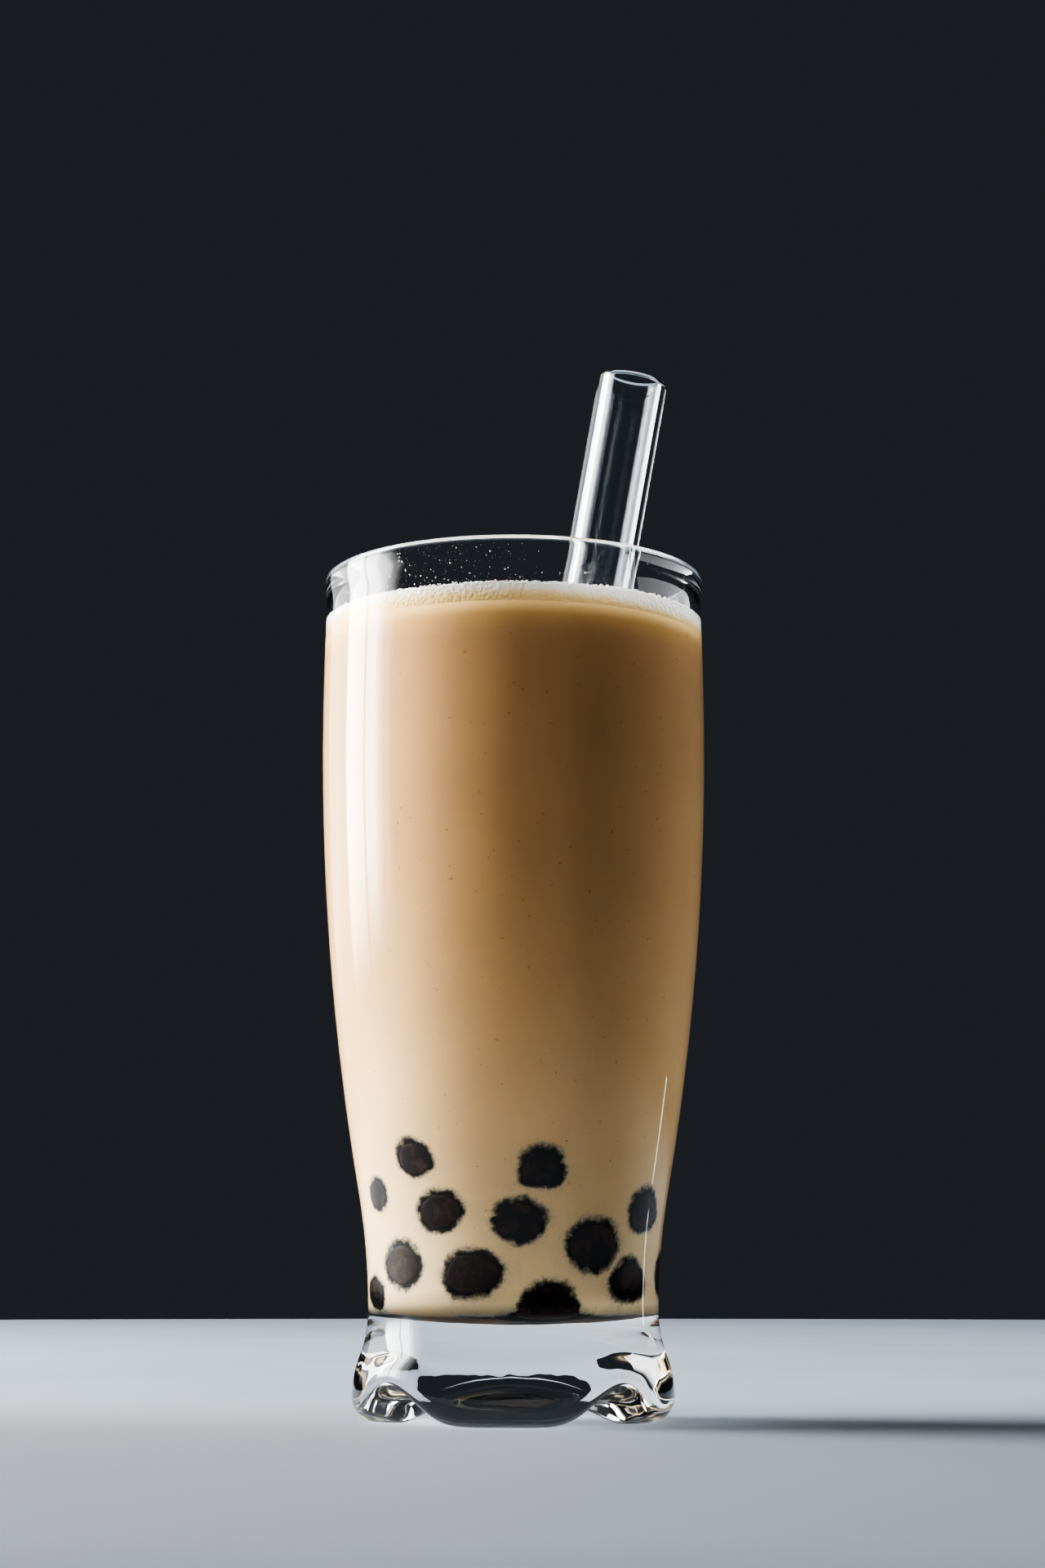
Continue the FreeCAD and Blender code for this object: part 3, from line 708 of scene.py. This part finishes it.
def make_foam_layer():
    """The foam as one closed band: up the wall, a small climbing edge, the bubbly top, a smaller
    climb at the straw, down the straw and back under itself."""
    angle = np.linspace(0, 2 * math.pi, FOAM_COLUMNS, endpoint=False)
    low = TEA_LEVEL - FOAM_TUCK
    edge = FOAM_EDGE + EDGE_RIPPLE * (ripple(angle, 3, 16, 3) + ripple(angle, 40, 150, 4))
    skirt = TEA_LEVEL - FOAM_SKIRT
    share = span(0, 1, 14)[:, None]
    height = skirt + (edge - skirt) * share
    radius = cavity_radius(height) + FOAM_REACH - FOAM_TAPER * np.maximum(0, 1 - share * 3)
    rings = [at_angle(angle, radius, height)]
    curve = (FOAM_CLING**2 + (FOAM_EDGE - FOAM_TOP)**2) / (2 * (FOAM_EDGE - FOAM_TOP))
    inset = span(0, FOAM_CLING, 6, first=False)[:, None]
    climb = curve - np.sqrt(curve**2 - (FOAM_CLING - inset)**2)
    climb = FOAM_TOP + climb * (edge - FOAM_TOP) / (FOAM_EDGE - FOAM_TOP)
    rings.append(at_angle(angle, cavity_radius(FOAM_EDGE) - inset, climb))
    outside = STRAW - WETTING
    flat = straw_rings([outside], [0.0], FOAM_COLUMNS)[0]

    def at_straw(level):
        return flat + ((level - flat[:, 2]) / STRAW_AXIS[2])[:, None] * STRAW_AXIS

    top = bridge(rings[-1][-1], at_straw(FOAM_TOP), TOP_ROWS)
    source = np.random.default_rng(31)
    bearing = source.uniform(0, 360, BUBBLES)
    spots = around(bearing, BUBBLE_REACH * np.sqrt(source.uniform(0, 1, BUBBLES)))
    sizes = between(0.55, 2.05, source.uniform(0, 1, BUBBLES)**4)
    flat_part = top.reshape(-1, 3)
    lift = bubbly(flat_part, spots, sizes)
    swell = SWELL * np.sin(flat_part[:, 0] * 0.21 + 1) * np.sin(flat_part[:, 1] * 0.17)
    fade = np.minimum(1, (np.arange(TOP_ROWS) + 1) / FADE_ROWS)[:, None]
    nearby = np.linalg.norm(top - at_straw(FOAM_TOP), axis=-1) / STRAW_CLING_WIDTH
    raised = (BUBBLE_LIFT * lift + swell).reshape(TOP_ROWS, -1) * fade * np.minimum(1, nearby)
    top[..., 2] += raised + STRAW_CLING * np.exp(-nearby)
    rings.append(top)
    rings.append(bridge(top[-1], at_straw(low), 4))
    rings.append(bridge(at_straw(low), rings[0][0], 5)[:-1])
    return ring_piece("foam_layer", np.concatenate(rings), row_wrap=True)


def make_foam_beads():
    """Small bubbles crowded along the foam's upper edge, at the wall and round the straw."""
    source = np.random.default_rng(17)
    count = 900
    bearing = source.uniform(0, 360, count)
    size = between(0.10, 0.34, source.uniform(0, 1, count)**4)
    level = FOAM_EDGE + between(-0.15, 0.17, source.uniform(0, 1, count)**2.5)
    wall = cavity_radius(level) - 0.55 * size
    centres = around(bearing, wall, level)
    more = 90
    turn = source.uniform(0, 2 * math.pi, more)[:, None]
    small = between(0.16, 0.50, source.uniform(0, 1, more)**2)
    across = np.cos(turn) * STRAW_SIDE + np.sin(turn) * STRAW_BACK
    high = FOAM_TOP + between(0.55, 0.90, source.uniform(0, 1, more))
    beside = STRAW_FOOT + (STRAW + 0.5 * small[:, None]) * across
    beside = beside + ((high - beside[:, 2]) / STRAW_AXIS[2])[:, None] * STRAW_AXIS
    return beads("foam_beads", np.concatenate([centres, beside]), np.concatenate([size, small]))


def make_wall_specks():
    """Splashes of milk on the inside of the wall above the foam, thicker at the front left."""
    source = np.random.default_rng(23)
    count = 420
    bearing = np.where(
        source.uniform(0, 1, count) < 0.6,
        source.normal(-24, 17, count),
        source.uniform(0, 360, count),
    )
    size = between(0.035, 0.195, source.uniform(0, 1, count)**6)
    level = between(FOAM_EDGE + 0.4, GLASS_TOP - 1.1, source.uniform(0, 1, count)**1.4)
    centres = around(bearing, cavity_radius(level), level)
    return beads("wall_specks", centres, size, squash=(around(bearing, 1.0), 0.45), rows=4)


# ---------------------------------------------------------------- materials

def node(tree, kind, settings=None, **values):
    """A node of one kind, with its settings and the values of its named inputs."""
    made = tree.nodes.new("ShaderNode" + kind)
    for key, value in (settings or {}).items():
        setattr(made, key, value)
    for key, value in values.items():
        socket = made.inputs[key.replace("_", " ")]
        if isinstance(value, bpy.types.NodeSocket):
            tree.links.new(value, socket)
        else:
            socket.default_value = value
    return made


def new_material(name, **values):
    """A material with one Principled surface, its tree and the surface."""
    material = bpy.data.materials.new(name)
    material.use_nodes = True
    tree = material.node_tree
    tree.nodes.clear()
    surface = node(tree, "BsdfPrincipled", **values)
    output = node(tree, "OutputMaterial")
    tree.links.new(surface.outputs["BSDF"], output.inputs["Surface"])
    return material, tree, surface, output


def place_of(tree):
    """The point on the object, in metres."""
    return node(tree, "TexCoord").outputs["Object"]


def ramp(tree, factor, stops, mode="LINEAR"):
    """Colours along a factor. Each stop is a position and a colour."""
    made = node(tree, "ValToRGB", Fac=factor)
    band = made.color_ramp
    band.interpolation = mode
    while len(band.elements) < len(stops):
        band.elements.new(0.5)
    for element, (position, colour) in zip(band.elements, stops):
        element.position = position
        element.color = (*colour, 1.0)
    return made.outputs["Color"]


def greys(*stops):
    """Stops of a ramp from pairs of a position and a level."""
    return [(position, (level,) * 3) for position, level in stops]


def blend(tree, factor, first, second, mode="MIX"):
    """Two colours mixed by a factor."""
    made = node(tree, "Mix", {"data_type": "RGBA", "blend_type": mode})
    sockets = (made.inputs[0], made.inputs[6], made.inputs[7])
    for socket, value in zip(sockets, (factor, first, second)):
        if isinstance(value, bpy.types.NodeSocket):
            tree.links.new(value, socket)
        elif isinstance(value, tuple):
            socket.default_value = (*value, 1.0)
        else:
            socket.default_value = value
    return made.outputs[2]


def steps(tree, value, low, high, to_low=0.0, to_high=1.0):
    """A value carried from one range to another, and held at its ends."""
    made = node(tree, "MapRange", {"clamp": True}, Value=value)
    for socket, number in zip(list(made.inputs)[1:5], (low, high, to_low, to_high)):
        socket.default_value = number
    return made.outputs["Result"]


def sums(tree, operation, first, second=None):
    """One arithmetic step on one or two values."""
    made = node(tree, "Math", {"operation": operation})
    for socket, value in zip(made.inputs, (first, second)):
        if isinstance(value, bpy.types.NodeSocket):
            tree.links.new(value, socket)
        elif value is not None:
            socket.default_value = value
    return made.outputs[0]


def shaded(tree, colour, level):
    """A colour made darker or lighter by a level round one."""
    grey = node(tree, "CombineColor", Red=level, Green=level, Blue=level).outputs[0]
    return blend(tree, 1.0, colour, grey, "MULTIPLY")


def parts_of(tree, vector):
    """The X, Y and Z of a vector."""
    return node(tree, "SeparateXYZ", Vector=vector).outputs


def height_of(tree):
    """Height above the table, in metres."""
    return parts_of(tree, place_of(tree))["Z"]


def mottle_group():
    """Soft blotches and fine grain from two noises: puts out the blotches, the grain and both."""
    group = bpy.data.node_groups.new("mottle", "ShaderNodeTree")
    for name in ("Blotch Scale", "Grain Scale"):
        group.interface.new_socket(name, in_out="INPUT", socket_type="NodeSocketFloat")
    for name in ("Blotches", "Grain", "Height"):
        group.interface.new_socket(name, in_out="OUTPUT", socket_type="NodeSocketFloat")
    given = group.nodes.new("NodeGroupInput")
    result = group.nodes.new("NodeGroupOutput")
    place = place_of(group)
    blotch = node(group, "TexNoise", Vector=place, Scale=given.outputs[0], Detail=3.0)
    grain = node(group, "TexNoise", Vector=place, Scale=given.outputs[1], Detail=2.0)
    both = sums(group, "ADD", blotch.outputs[0], sums(group, "MULTIPLY", grain.outputs[0], 0.4))
    group.links.new(blotch.outputs[0], result.inputs[0])
    group.links.new(grain.outputs[0], result.inputs[1])
    group.links.new(both, result.inputs[2])
    return group


MOTTLE = mottle_group()


def mottle(tree, blotch_scale, grain_scale):
    """The mottle effect placed in a material with its own two scales."""
    placed = tree.nodes.new("ShaderNodeGroup")
    placed.node_tree = MOTTLE
    placed.inputs["Blotch Scale"].default_value = blotch_scale
    placed.inputs["Grain Scale"].default_value = grain_scale
    return placed.outputs


def clear_glass(name, tint, blotch_scale, grain_scale, wave, calm=None):
    """Clear glass with slow waves of a height in its surface. Where calm is given, they die away
    to an eighth between that height and 1.6 times it. Light from the lamps passes straight on."""
    material, tree, surface, output = new_material(
        name, Base_Color=(*tint, 1.0), Roughness=0.0, IOR=1.5, Transmission_Weight=1.0
    )
    height = mottle(tree, blotch_scale, grain_scale)["Height"]
    if calm is not None:
        waves = steps(tree, height_of(tree), calm * MM, calm * MM * 1.6, 1.0, 0.12)
        height = sums(tree, "MULTIPLY", height, waves)
    bump = node(tree, "Bump", Height=height, Strength=1.0, Distance=wave)
    tree.links.new(bump.outputs["Normal"], surface.inputs["Normal"])
    open_way = node(tree, "BsdfTransparent", Color=(0.97, 0.98, 0.98, 1.0))
    path = node(tree, "LightPath")
    mixed = node(tree, "MixShader", Fac=path.outputs["Is Shadow Ray"])
    tree.links.new(surface.outputs["BSDF"], mixed.inputs[1])
    tree.links.new(open_way.outputs["BSDF"], mixed.inputs[2])
    tree.links.new(mixed.outputs["Shader"], output.inputs["Surface"])
    return material


def milk_tea():
    """Milky tea: paler low down, painted lighter and golden just under the foam as painted light
    from the froth above, painted dark on the glass's floor as painted shade, and dark where a pearl
    is near. Light no longer spreads inside it just under the foam, which would cast a dark line
    there."""
    material, tree, surface, _ = new_material(
        "milk_tea", Roughness=0.45, IOR=1.34, Subsurface_Scale=2.6 * MM
    )
    surface.inputs["Subsurface Radius"].default_value = (1.0, 0.70, 0.45)
    surface.inputs["Specular IOR Level"].default_value = 0.05
    height = height_of(tree)
    tree.links.new(
        steps(tree, height, (TEA_LEVEL - 6) * MM, (TEA_LEVEL - 2) * MM, 0.8, 0.0),
        surface.inputs["Subsurface Weight"],
    )
    depth = steps(tree, height, 20.0 * MM, TEA_LEVEL * MM)
    # Painted light: the top two stops make the tea lighter and golden just under the foam, standing
    # in for light that comes down through the froth.
    body = ramp(
        tree,
        depth,
        (
            (0.0, (0.80, 0.625, 0.375)),
            (0.25, (0.775, 0.57, 0.315)),
            (0.6, (0.68, 0.463, 0.243)),
            (0.955, (0.61, 0.40, 0.205)),
            (0.975, (0.69, 0.445, 0.195)),
            (1.0, (0.88, 0.61, 0.265)),
        ),
    )
    patches = mottle(tree, 60.0, 1900.0)
    cloudy = steps(tree, patches["Blotches"], 0.3, 0.7, 0.96, 1.03)
    body = shaded(tree, body, cloudy)
    speckle = node(tree, "TexNoise", Vector=place_of(tree), Scale=900.0)
    fleck = steps(tree, speckle.outputs[0], 0.70, 0.76)
    body = blend(tree, sums(tree, "MULTIPLY", fleck, 0.5), body, (0.30, 0.17, 0.08))
    # Painted shade: the tea on the glass's floor is painted dark brown, where little light reaches
    # under the drink.
    above_painted_floor_shade = steps(tree, height, 19.0 * MM, 21.6 * MM)
    body = blend(tree, above_painted_floor_shade, (0.055, 0.030, 0.014), body)
    near = node(tree, "Attribute", {"attribute_name": "pearl_shade"}).outputs["Fac"]
    rough_edge = sums(tree, "MULTIPLY", sums(tree, "SUBTRACT", patches["Grain"], 0.5), 0.65)
    fringe = sums(tree, "MULTIPLY", near, sums(tree, "SUBTRACT", 1.0, near))
    fringe = sums(tree, "MULTIPLY", fringe, 4.0)
    near = sums(tree, "ADD", near, sums(tree, "MULTIPLY", rough_edge, fringe))
    stops = greys((0.0, 0.0), (0.14, 0.10), (0.38, 0.48), (0.62, 0.84), (0.84, 1.0))
    veil = ramp(tree, near, stops)
    dark = ramp(
        tree,
        near,
        (
            (0.12, (0.165, 0.235, 0.24)),
            (0.40, (0.052, 0.094, 0.115)),
            (0.62, (0.014, 0.023, 0.029)),
            (0.80, (0.0085, 0.0085, 0.0085)),
        ),
    )
    body = blend(tree, veil, body, dark)
    tree.links.new(body, surface.inputs["Base Color"])
    return material


def milk_foam():
    """Fine milk froth: cream, paler on top, and painted paler towards the right as painted light,
    running into the tea's colour along its ragged lower edge."""
    material, tree, surface, _ = new_material("milk_foam", Roughness=0.55)
    surface.inputs["Specular IOR Level"].default_value = 0.2
    patches = mottle(tree, 240.0, 1600.0)
    place = parts_of(tree, place_of(tree))
    ragged = sums(tree, "MULTIPLY", patches["Blotches"], 1.4 * MM)
    # Painted light: the froth is made paler towards the right, standing in for light from the
    # window that falls on it over the rim.
    right = sums(tree, "MULTIPLY", steps(tree, place["X"], 4.0 * MM, 26.0 * MM), 0.9 * MM)
    height = sums(tree, "ADD", sums(tree, "ADD", place["Z"], ragged), right)
    level = steps(tree, height, (TEA_LEVEL - FOAM_SKIRT + 0.7) * MM, (FOAM_EDGE + 0.3) * MM)
    cream = ramp(
        tree,
        level,
        (
            (0.0, (0.86, 0.59, 0.25)),
            (0.48, (0.90, 0.64, 0.29)),
            (0.66, (0.94, 0.76, 0.45)),
            (0.84, (0.96, 0.90, 0.78)),
            (1.0, (0.97, 0.95, 0.91)),
        ),
    )
    cells = node(tree, "TexVoronoi", Vector=place_of(tree), Scale=1500.0)
    # Painted shade: the froth is darker in the middle of each bubble's hollow.
    painted_hollow_shade = steps(tree, cells.outputs["Distance"], 0.0, 0.24, 0.72, 1.0)
    tree.links.new(shaded(tree, cream, painted_hollow_shade), surface.inputs["Base Color"])
    bump = node(tree, "Bump", Height=cells.outputs["Distance"], Strength=0.6, Distance=0.2 * MM)
    tree.links.new(bump.outputs["Normal"], surface.inputs["Normal"])
    return material


def bubble_film():
    """The skin of a small bubble: wet and shining, pale as the froth behind it."""
    material, tree, surface, _ = new_material(
        "bubble_film", Roughness=0.12, IOR=1.33, Subsurface_Weight=0.4, Subsurface_Scale=1.0 * MM
    )
    patches = mottle(tree, 500.0, 2500.0)
    tint = ramp(tree, patches["Blotches"], ((0.3, (0.80, 0.72, 0.58)), (0.7, (0.92, 0.89, 0.82))))
    tree.links.new(tint, surface.inputs["Base Color"])
    return material


def cooked_pearl():
    """Cooked pearl: near black, with a faint red-brown or olive glow that varies by pearl."""
    material, tree, surface, _ = new_material("cooked_pearl", Roughness=0.4)
    surface.inputs["Specular IOR Level"].default_value = 0.06
    tone = node(tree, "Attribute", {"attribute_name": "tone"}).outputs["Fac"]
    deep = ramp(
        tree,
        tone,
        (
            (0.0, (0.0075, 0.0090, 0.0105)),
            (0.40, (0.0070, 0.0066, 0.0064)),
            (0.75, (0.0150, 0.0080, 0.0068)),
            (1.0, (0.0180, 0.0150, 0.0075)),
        ),
    )
    patches = mottle(tree, 380.0, 1500.0)
    glow = steps(tree, patches["Height"], 0.66, 0.86)
    deep = blend(tree, sums(tree, "MULTIPLY", glow, 0.8), deep, (0.050, 0.028, 0.020))
    tree.links.new(deep, surface.inputs["Base Color"])
    bump = node(tree, "Bump", Height=patches["Height"], Strength=0.3, Distance=0.2 * MM)
    tree.links.new(bump.outputs["Normal"], surface.inputs["Normal"])
    return material


def milk_drop():
    """A dried splash of milk."""
    material, tree, surface, _ = new_material("milk_drop", Roughness=0.3)
    patches = mottle(tree, 900.0, 3000.0)
    tint = ramp(tree, patches["Blotches"], ((0.3, (0.75, 0.68, 0.58)), (0.7, (0.92, 0.90, 0.86))))
    tree.links.new(tint, surface.inputs["Base Color"])
    return material


def table_top():
    """A plain pale blue-grey floor with a barely uneven tone, a little darker in front of the
    glass, and painted nearly black far in front and far to the sides as painted shade."""
    material, tree, surface, _ = new_material("table_top", Roughness=0.75)
    surface.inputs["Specular IOR Level"].default_value = 0.3
    patches = mottle(tree, 6.0, 90.0)
    tint = ramp(tree, patches["Blotches"], ((0.3, (0.38, 0.44, 0.51)), (0.7, (0.44, 0.50, 0.57))))
    place = parts_of(tree, place_of(tree))
    # Painted shade: far in front and far to the sides the floor is painted nearly black, where the
    # lamps' light would fall off.
    near = sums(
        tree,
        "MULTIPLY",
        steps(tree, place["Y"], -0.60, -0.24),
        steps(tree, sums(tree, "ABSOLUTE", place["X"]), 0.30, 0.75, 1.0, 0.0),
    )
    tint = blend(tree, steps(tree, place["Y"], -0.04, 0.10), (0.27, 0.30, 0.34), tint)
    tint = blend(tree, near, (0.02, 0.021, 0.023), tint)
    tree.links.new(tint, surface.inputs["Base Color"])
    return material


# ---------------------------------------------------------------- assembly

def dress(piece, material, slot, *replaced):
    """Gives the piece its material, its body and the nodes that it stands for. The slot is not
    used.
    """
    piece.data.materials.clear()
    piece.data.materials.append(material)
    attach(piece, "root")
    if replaced:
        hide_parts(*replaced)
    return piece


thick_glass = clear_glass("thick_glass", (0.985, 0.995, 0.995), 45.0, 120.0, 0.16 * MM, NECK_HEIGHT)
straw_glass = clear_glass("straw_glass", (0.95, 0.98, 1.0), 60.0, 300.0, 0.005 * MM)
dress(make_glass_body(), thick_glass, "clear_glass", "glass")
dress(make_straw_tube(), straw_glass, "straw_glass", "straw")
dress(make_tea_fill(), milk_tea(), "milk_tea", "tea")
dress(make_foam_layer(), milk_foam(), "milk_foam", "foam")
dress(make_foam_beads(), bubble_film(), "milk_foam")
dress(make_wall_specks(), milk_drop(), "milk_foam")
dress(make_pearls(), cooked_pearl(), "milk_tea")


# ---------------------------------------------------------------- stage, light and camera

FLOOR_GAP = 0.05           # how far the floor lies under the feet


def make_floor():
    """A flat disc just under the feet, as rings closed by a point in the middle."""
    out = np.array([1250.0, 900.0, 600.0, 300.0, 150.0, 60.0])
    rings = turned(joined((out, -FLOOR_GAP)), 96)
    piece = ring_piece("table", rings, None, (0, 0, -FLOOR_GAP))
    piece.data.materials.append(table_top())


def fade_lamp(data, across, upward):
    """Makes a lamp's strength change across its width and up its height, as a curtained window's
    does: each is a ramp of levels, and the two are multiplied."""
    data.use_nodes = True
    tree = data.node_tree
    place = parts_of(tree, node(tree, "NewGeometry").outputs["Parametric"])
    levels = [
        ramp(tree, place[axis], greys(*stops), "EASE")
        for axis, stops in (("X", across), ("Y", upward))
    ]
    tree.links.new(sums(tree, "MULTIPLY", *levels), tree.nodes["Emission"].inputs["Strength"])


def add_lamp(name, bearing, distance, height, wide, tall, radiance, colour):
    """A flat soft lamp that faces the glass's axis, at a bearing, with sizes and places in metres.
    Its power is its radiance times its area times pi."""
    data = bpy.data.lights.new(name, "AREA")
    data.shape = "RECTANGLE"
    data.size = wide
    data.size_y = tall
    data.energy = radiance * wide * tall * math.pi
    data.color = colour
    lamp = bpy.data.objects.new(name, data)
    bpy.context.scene.collection.objects.link(lamp)
    spot = around(bearing, distance)
    lamp.location = (spot[0], spot[1], height)
    lamp.rotation_euler = (math.radians(90), 0, math.radians(bearing))
    lamp.visible_camera = False
    return data


make_floor()
# The window's width runs from behind the glass to in front of it, and its bars are the dim places.
window = add_lamp("window", -102.0, 1.25, 0.82, 2.4, 1.56, 19.5, (1.0, 0.99, 0.98))
fade_lamp(
    window,
    (
        (0.0, 0.07), (0.34, 0.10), (0.37, 1.0), (0.515, 1.0), (0.522, 0.3), (0.535, 0.3),
        (0.542, 1.0), (0.61, 1.0), (0.65, 0.42), (0.68, 0.18), (0.78, 0.0),
    ),
    ((0.0, 0.0), (0.13, 1.0)),
)
# The room lights the right without a highlight, and the glint makes the thin streak there.
add_lamp("room", 112.0, 1.5, 0.38, 1.6, 0.72, 2.0, (0.97, 0.98, 1.0))
bpy.data.objects["room"].visible_glossy = False
add_lamp("glint", 120.0, 0.36, 0.02, 0.010, 0.05, 3.5, (1.0, 1.0, 1.0))
bpy.data.objects["glint"].visible_diffuse = False

world = bpy.data.worlds.new("dark_room")
bpy.context.scene.world = world
world.use_nodes = True
world.node_tree.nodes["Background"].inputs["Color"].default_value = (0.024, 0.0265, 0.031, 1.0)
world.node_tree.nodes["Background"].inputs["Strength"].default_value = 1.0

view = bpy.context.scene.view_settings
view.view_transform = "AgX"
view.look = "AgX - High Contrast"
view.exposure = 0.3

CAMERA_TILT = 9.646        # degrees upwards from level
lens = bpy.data.cameras.new("camera")
lens.lens = 66.2
lens.sensor_width = 36.0
lens.clip_start = 0.01
camera = bpy.data.objects.new("camera", lens)
bpy.context.scene.collection.objects.link(camera)
camera.location = (0.0017, -0.5469, 0.0269)
camera.rotation_euler = (math.radians(90 + CAMERA_TILT), 0, 0)
bpy.context.scene.camera = camera
